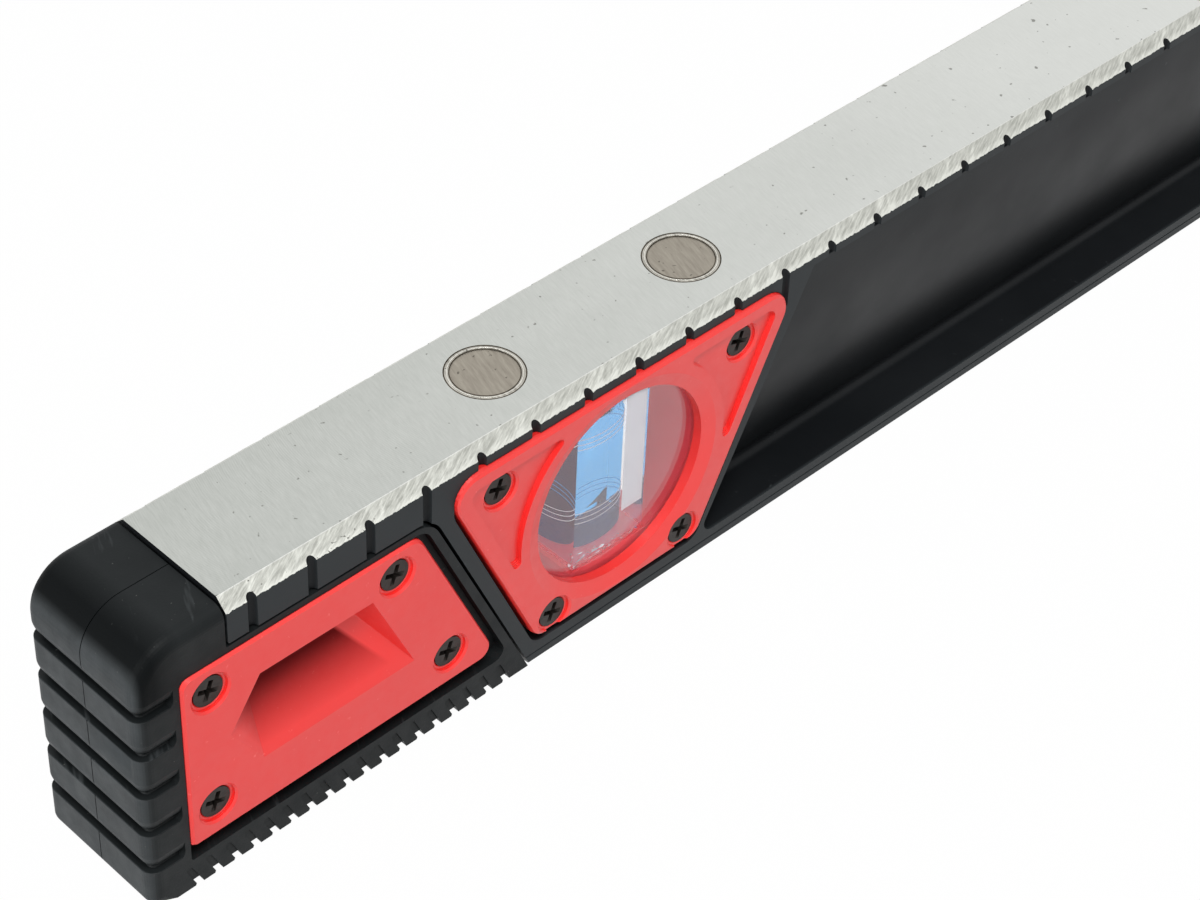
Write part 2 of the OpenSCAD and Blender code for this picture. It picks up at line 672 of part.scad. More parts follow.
// One groove along both sides and round the end
module groove(z) {
    left = -notch_start - cap_end;
    r = cap_edge_r;
    run = -left - r - groove_end + over;
    intersection() {
        translate([0, 0, z]) union() {
            for (m = [0, 1]) mirror([0, m, 0]) {
                translate([left + r, 0, 0]) rotate([90, 0, 90]) linear_extrude(run)
                    polygon([for (p = groove_section()) [p.x - half_t, p.y]]);
                translate([left + r, r - half_t, 0]) rotate([0, 0, 180]) rotate_extrude(angle = 90)
                    polygon([for (p = groove_section()) [r - p.x, p.y]]);
            }
            translate([left, half_t - r, 0]) rotate([90, 0, 0]) linear_extrude(beam_t - 2 * r)
                polygon(groove_section());
        }
        slab(-over, beam_t + 2 * over) polygon(groove_reach(z));
    }
}

// How far a groove reaches, seen from the side, with its rounded end
function groove_reach(z) =
    let (left = -notch_start - cap_end - 2 * over, low = z - groove_lip, high = z + groove_h)
        round_corners([[left, high], [left, low], [-groove_end, low], [-groove_end, high]], [0.1, 0.1, 1.7, 1.2]);

// Gap between two teeth, seen from the side: slanted like the frame, its foot flared
function tooth_view() =
    let (s = slant, low = cap_foot + 0.5)
        [[-tooth_gap + 0.35, tooth_h], [0, tooth_h], [s * (tooth_h - low), low], [s * (tooth_h - low) + 0.6, -over],
         [s * (tooth_h - low) - tooth_gap - 0.6, -over], [s * (tooth_h - low) - tooth_gap, low],
         [s * 0.7 - tooth_gap, tooth_h - 0.7]];

// Gaps between the teeth along the lower edge
module tooth_gaps() {
    pitch = notch_pitch / tooth_per_notch;
    last = frame_x + slant * frame_z - 7;
    for (x = [-notch_start - 10.6 : pitch : last]) translate([x, 0, 0]) {
        for (m = [0, 1]) mirror([0, m, 0]) slab(-over, over + tooth_d) polygon(tooth_view());
        intersection() {
            slab(-over, beam_t + 2 * over) polygon(tooth_view());
            translate([-10, -half_t - 2 * over, -2 * over]) cube([20, beam_t + 4 * over, 2 * over + tooth_foot]);
        }
    }
}

// Fine parting line over a cap's top and down its end
module parting_line() {
    left = -notch_start - cap_end + parting;
    slab(half_t - 0.5, parting) difference() {
        translate([left - 2, -over]) square([cap_end + 2, beam_h + 2 * over]);
        polygon(round_corners([[left, beam_h - cap_short - parting], [left, cap_foot + parting],
                               [cap_end, cap_foot + parting], [cap_end, beam_h - cap_short - parting]],
                              [cap_top_r - parting, cap_edge_r - parting, 1, 1], 16));
    }
}

module end_cap(side) {
    color("#232527") at_end(side) difference() {
        intersection() {
            cap_form();
            slab(-over, beam_t + 2 * over) polygon(cap_outline(seam));
        }
        translate([-notch_start - play, -tongue_t / 2 - play, foot_h]) cube([3 * frame_x, tongue_t + 2 * play, beam_h]);
        tongue_end(play);
        for (i = [0 : groove_n - 1]) groove(groove_top - i * groove_pitch);
        tooth_gaps();
        parting_line();
        for (face = ["front", "back"]) on_face(face) {
            slab(-over, over + plate_seat) polygon(plate_outline(play, play, plate_gap, plate_gap_low));
            slab(plate_seat - 0.01, scoop_back() - plate_seat + play) polygon(scoop_boss(play));
            for (p = plate_screws_at()) across(p, plate_seat - over, half_t, clear_r);
        }
    }
}

module magnet_cup(i) {
    color("#b9b5ab") at_end(i < 3 ? "left" : "right")
        translate([i % 2 == 1 ? magnet_x1 : magnet_x2, 0, beam_h - cup_d]) difference() {
            cylinder(r = cup_r, h = cup_d - 0.05);
            translate([0, 0, cup_floor]) cylinder(r = magnet_r + 0.12, h = cup_d);
        }
}

module magnet(i) {
    color("#8f8b81") at_end(i < 3 ? "left" : "right")
        translate([i % 2 == 1 ? magnet_x1 : magnet_x2, 0, beam_h - cup_d + cup_floor])
            cylinder(r = magnet_r, h = cup_d - cup_floor - 0.15);
}

beam();
end_cap("left");  // left_end_cap
end_cap("right");  // right_end_cap
for (side = ["left", "right"], face = ["front", "back"])
    cover_plate(side, face);
cover_plate_screws();
for (place = ["left", "middle", "right"], face = ["front", "back"])
    bezel(place, face);
bezel_screws();
for (place = ["left", "middle", "right"], face = ["front", "back"])
    window(place, face);
for (place = ["left", "middle", "right"]) {
    barrel(place);
    vial_block(place);
    vial_liquid(place);
}
for (i = [1 : 4]) {
    magnet_cup(i);
    magnet(i);
}
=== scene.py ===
# Magnetic spirit level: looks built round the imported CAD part
import math
import random

import bmesh
import bpy
from mathutils import Matrix, Vector


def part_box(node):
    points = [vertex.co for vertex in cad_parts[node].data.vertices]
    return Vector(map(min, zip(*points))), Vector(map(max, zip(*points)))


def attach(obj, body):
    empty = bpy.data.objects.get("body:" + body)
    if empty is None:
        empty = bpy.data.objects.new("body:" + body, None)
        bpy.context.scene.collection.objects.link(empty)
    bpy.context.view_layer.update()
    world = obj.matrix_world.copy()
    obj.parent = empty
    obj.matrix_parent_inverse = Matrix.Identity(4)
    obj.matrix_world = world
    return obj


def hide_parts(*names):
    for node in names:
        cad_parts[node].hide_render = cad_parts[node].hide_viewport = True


MM = 0.001
ENDS = ("left", "right")
PLACES = ("left", "middle", "right")
FACES = ("front", "back")
CORNER_SIGNS = ((-1, -1), (1, -1), (1, 1), (-1, 1))

# Sizes of the CAD part that its boxes don't give, in millimetres
CHAMFER_FOOT = 59.0
FACE_Z = 61.5
OUTER_FACE = (14.0, 14.5)
CAP_END = 399.2
CAP_ROUND_Z = (44.0, 50.0)
VIAL_BORE_R = 7.0
VIAL_WALL_END = 2.0

# Distance from the level's middle plane to a scoop's rim and to its deepest floor, and the
# slanted line in the side view beyond which the floor lies, in millimetres
SCOOP_FACE = 14.6
SCOOP_DEEP = 10.6
SCOOP_SLOPE = 0.75
SCOOP_LINE = (326.8, 327.8)

# Sizes of the pieces that are made here, in millimetres
BUBBLE_D = 1.3
WINDOW_T = 1.15
PANE_PLAY = 0.06
STRIP_SPAN = (3.4, 8.75)
STRIP_ENDS = (-10.6, 17.8)
STRIP_INSET = 0.35
SEAT_INSET = 0.3
SEAT_DEPTH = 1.0
SEAT_RIPPLE = 0.22
GLINT_REACH = (3.0, 1.4)
GLINT_INSET = (0.6, 1.2)
GLINT_R = (0.25, 0.85)
GLINT_TILT = 0.7
ROUGH_ROWS = (0.0, 0.5, 1.1, 1.8, 2.1)
ROUGH_BY_ROW = (0.5, 0.45, 0.25, 0.0, 0.0)
END_HOLLOW = 0.4
RING_OFFSETS = (7.9, 9.1, 10.3)
RING_LIFT = 0.1
RING_THICK = 0.085
LONG_BUBBLE = (14.0, 3.0, 9.6)
AXIS_R = 0.0001
MERGE = 0.001

# Rings round a magnet: how far outside the magnet or its cup, and how thick, in millimetres
INNER_JOINT = (0.03, 0.10)
TURNED_LIP = (0.42, 0.09)
OUTER_JOINT = (0.0, 0.12)
RING_FLATNESS = 0.35

# How finely round and rough pieces are divided
ROUND_STEPS = 72
WIDE_STEPS = 96
SECTION_POINTS = 8
SIDE_STEPS = 14
SEAT_STEPS = (18, 22)
GLINT_COUNT = 46

# Heights over the chamfer's foot: where the milling ends with its burrs and chips, and a band of
# painted highlight; and depths under the face of the painted highlight line at its edge, in millimetres
BURR_SPAN = (0.02, 0.17)
CHIP_HEIGHT = 0.45
LIGHT_BAND = (1.0, 0.15)
TOP_LINE = (0.16, 0.04)

# Distances from the level's end: where the painted sheen on the end faces begins and is full, and where
# the painted shade on the round begins and is full, and then ends, in millimetres
END_SHEEN_FROM_END = (1.9, 0.4)
ROUND_START = (10.0, 4.0)
ROUND_STOP = (0.5, 1.7)

# Cutter marks on the milled face, in metres, and how much they bend, per metre
ARC_CURVE = 14.3
ARC_PITCH = 0.00042
ARC_WOBBLE = 0.0016

# Places along the level where a mark or the painted sheen begins and where it is full, in metres
CHIPS_ALONG = (-0.28, -0.37)
ARCS_ALONG = (-0.20, -0.37)
SHEEN_ALONG = (-0.38, -0.10)
PITS_ALONG = (-0.33, -0.362)

# The span that most of a noise texture lies in
NOISE_SPAN = (0.3, 0.7)

# The photograph's camera, solved from the level's edges
CAMERA_AT = (-0.58951, -0.29746, 0.40781)
CAMERA_RIGHT = (0.71559, -0.69754, 0.03703)
CAMERA_UP = (0.44488, 0.49597, 0.74572)
LENS_MM = 91.36

# Strength of the soft light from the horizon and from straight above
SKY_LOW = 0.25
SKY_HIGH = 0.75
SKY_HIGH_FROM = 0.9

# The floor: its grey for soft light, how white it is where it is seen, and its drop in millimetres
FLOOR_GREY = 206
FLOOR_SEEN = 0.985
FLOOR_DROP = 0.2
FLOOR_REACH = 6.0

# The lamps: where they aim, and each one's place, width and power
AIM = (-0.30, 0.0, 0.03)
KEY_LAMP = ((-0.75, -0.60, 1.55), 0.6, 19.0)
LEFT_LAMP = ((-1.5, -0.15, 0.45), 0.7, 6.5)


def srgb(red, green, blue):
    """A colour written as it shows on screen, as Blender's linear numbers."""
    shown = (red / 255, green / 255, blue / 255)
    return tuple(c / 12.92 if c <= 0.04045 else ((c + 0.055) / 1.055) ** 2.4 for c in shown) + (1.0,)


class Shader:
    """A node material that is built by short calls."""

    def __init__(self, name):
        self.material = bpy.data.materials.new(name)
        self.material.use_nodes = True
        self.tree = self.material.node_tree
        self.principled = self.tree.nodes["Principled BSDF"]
        self.place = self.add("ShaderNodeTexCoord").outputs["Object"]

    def add(self, kind, **settings):
        made = self.tree.nodes.new(kind)
        for key, value in settings.items():
            setattr(made, key, value)
        return made

    def join(self, source, socket):
        self.tree.links.new(source, socket)

    def fill(self, socket, value):
        if isinstance(value, (int, float, tuple)):
            socket.default_value = value
        else:
            self.join(value, socket)

    def set(self, **values):
        """Shader sockets by name, with _ for a space."""
        for key, value in values.items():
            self.fill(self.principled.inputs[key.replace("_", " ")], value)

    def math(self, operation, a, b=0.0, clamp=False):
        made = self.add("ShaderNodeMath", operation=operation, use_clamp=clamp)
        self.fill(made.inputs[0], a)
        self.fill(made.inputs[1], b)
        return made.outputs[0]

    def times(self, a, b):
        return self.math("MULTIPLY", a, b)

    def stretch(self, scale, turn=(0.0, 0.0, 0.0)):
        """The object's coordinates, scaled along its axes after a turn."""
        first = self.add("ShaderNodeMapping")
        self.join(self.place, first.inputs["Vector"])
        first.inputs["Rotation"].default_value = turn
        second = self.add("ShaderNodeMapping")
        self.join(first.outputs[0], second.inputs["Vector"])
        second.inputs["Scale"].default_value = scale
        return second.outputs[0]

    def noise(self, scale, detail=3.0, rough=0.55, vector=None):
        made = self.add("ShaderNodeTexNoise")
        self.join(vector or self.place, made.inputs["Vector"])
        made.inputs["Scale"].default_value = scale
        made.inputs["Detail"].default_value = detail
        made.inputs["Roughness"].default_value = rough
        return made.outputs[0]

    def ramp(self, value, low, high, low_out=0.0, high_out=1.0):
        """Maps a value from one span to another, without going past its ends."""
        made = self.add("ShaderNodeMapRange")
        self.fill(made.inputs["Value"], value)
        made.inputs["From Min"].default_value = low
        made.inputs["From Max"].default_value = high
        made.inputs["To Min"].default_value = low_out
        made.inputs["To Max"].default_value = high_out
        return made.outputs[0]

    def spread(self, noise, low_out=0.0, high_out=1.0):
        """Maps the usual span of a noise to two values."""
        return self.ramp(noise, *NOISE_SPAN, low_out, high_out)

    def mix(self, factor, a, b):
        made = self.add("ShaderNodeMix", data_type="RGBA")
        self.fill(made.inputs[0], factor)
        self.fill(made.inputs[6], a)
        self.fill(made.inputs[7], b)
        return made.outputs[2]

    def bump(self, height, distance, strength=1.0, normal=None):
        made = self.add("ShaderNodeBump")
        made.inputs["Strength"].default_value = strength
        made.inputs["Distance"].default_value = distance
        self.join(height, made.inputs["Height"])
        if normal:
            self.join(normal, made.inputs["Normal"])
        return made.outputs[0]

    def part(self, vector, axis):
        made = self.add("ShaderNodeSeparateXYZ")
        self.join(vector, made.inputs[0])
        return made.outputs[axis]


def beam_material():
    """Satin black coat, with a milled bare face and two milled chamfers."""
    s = Shader("beam_coat_and_milling")
    normal_z = s.part(s.add("ShaderNodeNewGeometry").outputs["Normal"], 2)
    along, across, height = (s.part(s.place, axis) for axis in range(3))

    burrs = s.noise(1500, 3.0, 0.6, s.stretch((0.8, 1.0, 1.0)))
    chips = s.noise(260, 2.0, 0.5, s.stretch((1.0, 0.3, 0.3)))
    near_end = s.ramp(along, *CHIPS_ALONG)
    burr_z = s.ramp(burrs, 0.35, 0.7, *[(CHAMFER_FOOT + h) * MM for h in BURR_SPAN])
    chip_z = s.times(near_end, s.ramp(chips, 0.58, 0.74, 0.0, CHIP_HEIGHT * MM))
    edge_z = s.math("ADD", burr_z, chip_z)
    over_edge = s.math("GREATER_THAN", height, edge_z)
    faces_up = s.math("GREATER_THAN", normal_z, 0.5)
    milled = s.times(over_edge, faces_up)
    on_top = s.times(milled, s.math("GREATER_THAN", normal_z, 0.9))
    on_strip = s.math("SUBTRACT", milled, on_top)

    # Arcs that a face cutter leaves, in patches, strongest near the seen end
    bend = s.times(s.times(across, across), ARC_CURVE)
    arc_place = s.math("SUBTRACT", along, bend)
    wobble = s.times(s.noise(55, 2.0), ARC_WOBBLE)
    arcs = s.math("SINE", s.times(s.math("ADD", arc_place, wobble), 2 * math.pi / ARC_PITCH))
    arc_patches = s.ramp(s.noise(42, 3.0, 0.6), 0.44, 0.62)
    arc_share = s.times(arc_patches, s.ramp(along, *ARCS_ALONG, 0.25, 1.0))
    arc_marks = s.times(s.times(arcs, 0.5), arc_share)
    grain = s.noise(2600, 3.0, 0.65, s.stretch((1.0, 0.10, 1.0), (0.0, 0.0, 0.22)))
    clouds = s.noise(26, 4.0, 0.6, s.stretch((0.4, 1.0, 1.0)))
    top_shade = s.math("ADD", s.spread(clouds, 0.15, 0.6), s.spread(grain, -0.22, 0.22))
    top_shade = s.math("ADD", top_shade, s.times(arc_marks, 0.35), clamp=True)
    top_colour = s.mix(top_shade, srgb(176, 179, 174), srgb(200, 202, 198))
    # Painted sheen: the milled face grows paler towards the far end
    paler = s.ramp(along, *SHEEN_ALONG, 0.0, 0.6)
    top_colour = s.mix(paler, top_colour, srgb(232, 233, 230))
    specks = s.ramp(s.noise(620, 2.0, 0.4), 0.715, 0.75, 0.0, 0.75)
    top_colour = s.mix(specks, top_colour, srgb(112, 112, 106))

    # Slanted strokes on the narrow strip, with a painted highlight along both of its edges
    strokes = s.noise(3400, 3.0, 0.7, s.stretch((0.10, 0.05, 1.0), (0.0, 0.37, 0.0)))
    swept = s.noise(620, 2.0, 0.5, s.stretch((0.30, 0.05, 1.0), (0.0, 0.75, 0.0)))
    rim_light = s.ramp(height, *[(CHAMFER_FOOT + h) * MM for h in LIGHT_BAND], 0.0, 0.6)
    fine = s.ramp(strokes, 0.34, 0.66, 0.0, 0.75)
    broad = s.ramp(swept, 0.56, 0.66, 0.0, 0.35)
    strip_shade = s.math("ADD", s.math("ADD", fine, broad), rim_light, clamp=True)
    strip_colour = s.mix(strip_shade, srgb(166, 167, 160), srgb(220, 221, 214))
    painted_top_highlight = s.ramp(height, *[(FACE_Z - d) * MM for d in TOP_LINE], 0.0, 0.6)
    strip_colour = s.mix(painted_top_highlight, strip_colour, srgb(232, 233, 230))
    pit_spots = s.ramp(s.noise(900, 3.0, 0.5), 0.66, 0.70)
    pits = s.times(pit_spots, s.ramp(along, *PITS_ALONG, 0.0, 0.9))
    strip_colour = s.mix(pits, strip_colour, srgb(52, 50, 44))
    milled_colour = s.mix(on_top, strip_colour, top_colour)

    # The coat, with a painted sheen that makes it greyer on the faces that stand furthest out
    dust = s.ramp(s.noise(520, 4.0, 0.6), 0.70, 0.76, 0.0, 0.3)
    coat_tone = s.mix(s.spread(s.noise(35, 3.0)), srgb(20, 22, 24), srgb(27, 29, 31))
    outer = s.ramp(s.math("ABSOLUTE", across), *[y * MM for y in OUTER_FACE], 0.0, 0.8)
    coat_tone = s.mix(outer, coat_tone, srgb(46, 50, 52))
    coat_colour = s.mix(dust, coat_tone, srgb(84, 88, 90))
    s.set(Base_Color=s.mix(milled, coat_colour, milled_colour))
    s.set(Metallic=s.times(milled, 0.85), Specular_IOR_Level=0.12)
    coat_rough = s.spread(s.noise(60, 3.0), 0.34, 0.44)
    milled_rough = s.spread(strokes, 0.42, 0.55)
    coat_rough = s.times(coat_rough, s.math("SUBTRACT", 1.0, milled))
    milled_rough = s.times(milled_rough, milled)
    s.set(Roughness=s.math("ADD", coat_rough, milled_rough))
    peel = s.noise(1600, 2.0, 0.5)
    strip_height = s.times(s.math("ADD", strokes, swept), on_strip)
    face_height = s.times(s.math("ADD", s.times(arc_marks, 0.4), grain), on_top)
    face_height = s.times(face_height, 0.25)
    marks = s.bump(s.math("ADD", strip_height, face_height), 0.08 * MM, 0.7)
    s.set(Normal=s.bump(peel, 0.02 * MM, 0.4, marks))
    return s.material


def rubber_material():
    """Matt moulded rubber, with a painted sheen on its outer end faces, painted shade where it is rounded
    over, scuffed on top.
    """
    s = Shader("cap_rubber")
    normal = s.add("ShaderNodeNewGeometry").outputs["Normal"]
    up = s.part(normal, 2)
    faces_out = s.ramp(s.math("ABSOLUTE", s.part(normal, 0)), 0.3, 0.6)
    out = s.math("ABSOLUTE", s.part(s.place, 0))
    patches = s.noise(45, 4.0, 0.6)
    tone = s.mix(s.spread(patches), srgb(20, 23, 24), srgb(28, 31, 32))
    # Painted sheen on the outer end faces near the end, mottled by a noise
    at_end = s.ramp(out, *[(CAP_END - d) * MM for d in END_SHEEN_FROM_END])
    painted_end_sheen = s.times(at_end, s.spread(s.noise(120, 4.0, 0.65), 0.45, 0.95))
    painted_end_sheen = s.times(painted_end_sheen, faces_out)
    tone = s.mix(painted_end_sheen, tone, srgb(62, 66, 68))
    scuff_lines = s.noise(420, 3.0, 0.65, s.stretch((1.0, 0.12, 1.0), (0.0, 0.0, 0.5)))
    scuffs = s.times(s.ramp(scuff_lines, 0.62, 0.75, 0.0, 0.35), s.ramp(up, 0.8, 0.95))
    tone = s.mix(scuffs, tone, srgb(86, 90, 92))
    dust = s.ramp(s.noise(1300, 2.0, 0.5), 0.745, 0.78, 0.0, 0.55)
    tone = s.mix(dust, tone, srgb(104, 106, 102))
    # Painted shade on the cap where it rounds over towards its end
    past_top = s.ramp(out, *[(CAP_END - d) * MM for d in ROUND_START])
    before_end = s.ramp(out, *[(CAP_END - d) * MM for d in ROUND_STOP], 0.0, 0.9)
    high_up = s.ramp(s.part(s.place, 2), *[z * MM for z in CAP_ROUND_Z])
    painted_round_shade = s.times(s.times(past_top, before_end), high_up)
    tone = s.mix(painted_round_shade, tone, srgb(9, 11, 12))
    s.set(Base_Color=tone)
    s.set(Specular_IOR_Level=s.math("SUBTRACT", 0.14, s.times(painted_round_shade, 0.10)))
    s.set(Roughness=s.spread(s.noise(300, 3.0), 0.42, 0.56))
    s.set(Normal=s.bump(s.noise(2200, 3.0, 0.6), 0.05 * MM, 0.5))
    return s.material


def red_material(name, colour, paler, scoop=False, glow=0.0):
    """Satin moulded plastic, slightly paler where it is worn. A scoop's deep floor has painted shade,
    darker the deeper it lies.
    The glow stands for the light that the clear block leads down to the pieces round it."""
    s = Shader(name)
    patches = s.noise(40, 3.0, 0.5)
    tone = s.mix(s.spread(patches), colour, paler)
    specks = s.ramp(s.noise(700, 3.0, 0.55), 0.69, 0.74, 0.0, 0.35)
    tone = s.mix(specks, tone, srgb(250, 128, 122))
    rough = s.spread(s.noise(500, 3.0), 0.36, 0.46)
    gloss = 1.0
    if scoop:
        # Painted shade: the scoop's floor is darkened the deeper it lies and the further it is past the
        # slanted line
        depth = s.ramp(s.math("ABSOLUTE", s.part(s.place, 1)), SCOOP_FACE * MM, SCOOP_DEEP * MM)
        outward = s.math("ABSOLUTE", s.part(s.place, 0))
        slanted = s.times(s.part(s.place, 2), SCOOP_SLOPE)
        past_ramp = s.ramp(s.math("SUBTRACT", outward, slanted), *[x * MM for x in SCOOP_LINE])
        depth = s.times(depth, past_ramp)
        tone = s.mix(depth, tone, srgb(104, 4, 5))
        rough = s.math("ADD", rough, s.times(depth, 0.3))
        gloss = s.math("SUBTRACT", 0.82, s.times(depth, 0.7))
    s.set(Base_Color=tone, Specular_IOR_Level=gloss, Roughness=rough)
    if glow:
        s.set(Emission_Color=colour, Emission_Strength=glow)
    s.set(Normal=s.bump(s.noise(2600, 2.0, 0.5), 0.03 * MM, 0.4))
    return s.material


def screw_material():
    s = Shader("black_steel")
    s.set(Base_Color=s.mix(s.noise(900, 3.0), srgb(30, 28, 27), srgb(62, 56, 52)), Metallic=0.55)
    s.set(Roughness=s.spread(s.noise(1500, 3.0), 0.28, 0.46), Specular_IOR_Level=0.25)
    s.set(Normal=s.bump(s.noise(1800, 2.0), 0.04 * MM, 0.6))
    return s.material


def ground_steel_material(name, low, high, rough):
    s = Shader(name)
    arcs = s.noise(1500, 3.0, 0.65, s.stretch((1.0, 0.12, 1.0), (0.0, 0.0, 0.3)))
    tone = s.mix(s.spread(arcs), low, high)
    specks = s.ramp(s.noise(800, 2.0, 0.5), 0.69, 0.73, 0.0, 0.7)
    s.set(Base_Color=s.mix(specks, tone, srgb(70, 66, 58)), Metallic=0.8)
    s.set(Roughness=s.spread(arcs, rough, rough + 0.12))
    s.set(Normal=s.bump(arcs, 0.03 * MM, 0.5))
    return s.material


def clear_material(name, colour, refraction):
    s = Shader(name)
    s.set(Base_Color=colour, Roughness=0.01, IOR=refraction, Transmission_Weight=1.0)
    return s.material


def line_material():
    s = Shader("vial_lines")
    s.set(Base_Color=s.mix(s.noise(900), srgb(226, 228, 236), srgb(246, 247, 250)), Roughness=0.5)
    # Painted light: the lines glow a little so that they stay pale inside the dim bore
    s.set(Emission_Color=srgb(226, 228, 238), Emission_Strength=0.35)
    return s.material


def strip_material():
    s = Shader("pale_strip")
    s.set(Base_Color=s.mix(s.noise(160, 3.0), srgb(240, 238, 246), srgb(250, 249, 253)))
    s.set(Roughness=0.3, Metallic=0.9)
    return s.material


def assign(node, material):
    """Puts one material on a CAD node."""
    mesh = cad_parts[node].data
    mesh.materials.clear()
    mesh.materials.append(material)


def add_mesh(name, mesh_data, material, smooth=True):
    """Makes a piece of the level out of a bmesh and lets it ride on the body."""
    mesh = bpy.data.meshes.new(name)
    mesh_data.to_mesh(mesh)
    mesh_data.free()
    mesh.materials.append(material)
    piece = bpy.data.objects.new(name, mesh)
    bpy.context.scene.collection.objects.link(piece)
    for polygon in mesh.polygons:
        polygon.use_smooth = smooth
    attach(piece, "root")
    return piece


def unit_frame(place):
    """Middle of a vial's block, with the bore along Z. A turn lays the middle unit's bore along X."""
    low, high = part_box(place + "_vial_block")
    turn = Matrix.Rotation(math.pi / 2, 4, "Y") if place == "middle" else Matrix.Identity(4)
    return Matrix.Translation((low + high) / 2) @ turn


def block_half(place):
    """Half the size of a vial's block in the vial's own frame, with the bore along Z."""
    low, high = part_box(place + "_vial_block")
    size = high - low
    return Vector((size.z, size.y, size.x) if place == "middle" else size) / 2


def revolve(mesh_data, outline, steps, place):
    """Turns a closed outline of (radius, height) points round the place's axis."""
    rings = []
    for step in range(steps):
        angle = 2 * math.pi * step / steps
        turned = [Vector((r * math.cos(angle), r * math.sin(angle), h)) for r, h in outline]
        rings.append([mesh_data.verts.new(place @ p) for p in turned])
    count = len(outline)
    for step in range(steps):
        here, after = rings[step], rings[(step + 1) % steps]
        for i in range(count):
            j = (i + 1) % count
            mesh_data.faces.new((here[i], after[i], after[j], here[j]))


def turned_solid(outline, steps, place):
    """A solid turned from an outline that begins and ends close to the axis."""
    made = bmesh.new()
    revolve(made, outline, steps, place)
    bmesh.ops.remove_doubles(made, verts=made.verts, dist=MERGE * MM)
    bmesh.ops.recalc_face_normals(made, faces=made.faces)
    return made


def ring_section(radius, height, thick, flat=1.0):
    """Outline of a thin ring's section, round or flattened."""
    angles = [2 * math.pi * k / SECTION_POINTS for k in range(SECTION_POINTS)]
    return [(radius + thick * math.cos(a), height + flat * thick * math.sin(a)) for a in angles]


def vial_rings(place, material):
    """Fine lines round the bore, two groups of three."""
    made = bmesh.new()
    radius = (VIAL_BORE_R + RING_LIFT) * MM
    for side in (-1, 1):
        for offset in RING_OFFSETS:
            section = ring_section(radius, side * offset * MM, RING_THICK * MM)
            revolve(made, section, ROUND_STEPS, unit_frame(place))
    bmesh.ops.recalc_face_normals(made, faces=made.faces)
    add_mesh(place + "_vial_rings", made, material)


def vial_half(place):
    """Half the length of the bore."""
    return block_half(place).z - VIAL_WALL_END * MM


def vial_liquid(place, material):
    """Liquid up to its surface. In the flat vial the bubble is a hollow of the block in it."""
    half = vial_half(place)
    top = half if place == "middle" else half - BUBBLE_D * MM
    r, axis = VIAL_BORE_R * MM, AXIS_R * MM
    made = turned_solid([(axis, -half), (r, -half), (r, top), (axis, top)], ROUND_STEPS, unit_frame(place))
    piece = add_mesh(place + "_liquid", made, material)
    piece.data.set_sharp_from_angle(angle=math.radians(40))
    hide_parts(place + "_vial_liquid")


def vial_block(place, material):
    """Clear block round the liquid, with rough sawn ends, and the air over the liquid as a hollow."""
    made = bmesh.new()
    if place == "middle":
        long_bubble(made)
    else:
        flat_bubble(made, place)
    bmesh.ops.remove_doubles(made, verts=made.verts, dist=MERGE * MM)
    bmesh.ops.recalc_face_normals(made, faces=made.faces)
    bmesh.ops.reverse_faces(made, faces=made.faces)
    sawn_block(made, place)
    piece = add_mesh(place + "_block", made, material)
    piece.data.set_sharp_from_angle(angle=math.radians(12))
    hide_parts(place + "_vial_block")


def sawn_block(made, place):
    """Outside of the block: smooth sides, and rough sawn ends that catch the light."""
    chance = random.Random(7)
    turn = unit_frame(place)
    half = block_half(place)
    corners = [Vector((x * half.x, y * half.y, 0)) for x, y in CORNER_SIGNS]
    outline = []
    for a, b in zip(corners, corners[1:] + corners[:1]):
        outline += [a.lerp(b, i / SIDE_STEPS) for i in range(SIDE_STEPS)]
    total = len(outline)

    levels = [-half.z + row * MM for row in ROUGH_ROWS]
    levels += [half.z - row * MM for row in reversed(ROUGH_ROWS)]
    rows = []
    for index, level in enumerate(levels):
        from_end = min(index, len(levels) - 1 - index)
        rough = ROUGH_BY_ROW[from_end] * MM
        ring = []
        for p in outline:
            inward = 1 - rough * chance.random() / half.x
            wander = rough * (chance.random() - 0.5) if 0 < from_end < 3 else 0.0
            ring.append(made.verts.new(turn @ Vector((p.x * inward, p.y * inward, level + wander))))
        rows.append(ring)

    faces = []
    for lower, upper in zip(rows, rows[1:]):
        for i in range(total):
            j = (i + 1) % total
            faces.append(made.faces.new((lower[i], lower[j], upper[j], upper[i])))
    hollow = half.z - END_HOLLOW * MM
    for ring, level in ((rows[0], -hollow), (rows[-1], hollow)):
        middle = made.verts.new(turn @ Vector((0, 0, level)))
        for i in range(total):
            faces.append(made.faces.new((ring[i], ring[(i + 1) % total], middle)))
    bmesh.ops.recalc_face_normals(made, faces=faces)


def sheet(made, place, corner, along, across, steps, rough, seed):
    """Thin plate from a corner along two directions, in the vial's own frame, rippled by chance."""
    chance = random.Random(seed)
    turn = unit_frame(place)
    out = along.cross(across).normalized()
    grid = []
    for i in range(steps[0] + 1):
        row = []
        for j in range(steps[1] + 1):
            p = corner + along * (i / steps[0]) + across * (j / steps[1])
            row.append(made.verts.new(turn @ (p + out * rough * chance.random())))
        grid.append(row)
    for i in range(steps[0]):
        for j in range(steps[1]):
            made.faces.new((grid[i][j], grid[i + 1][j], grid[i + 1][j + 1], grid[i][j + 1]))


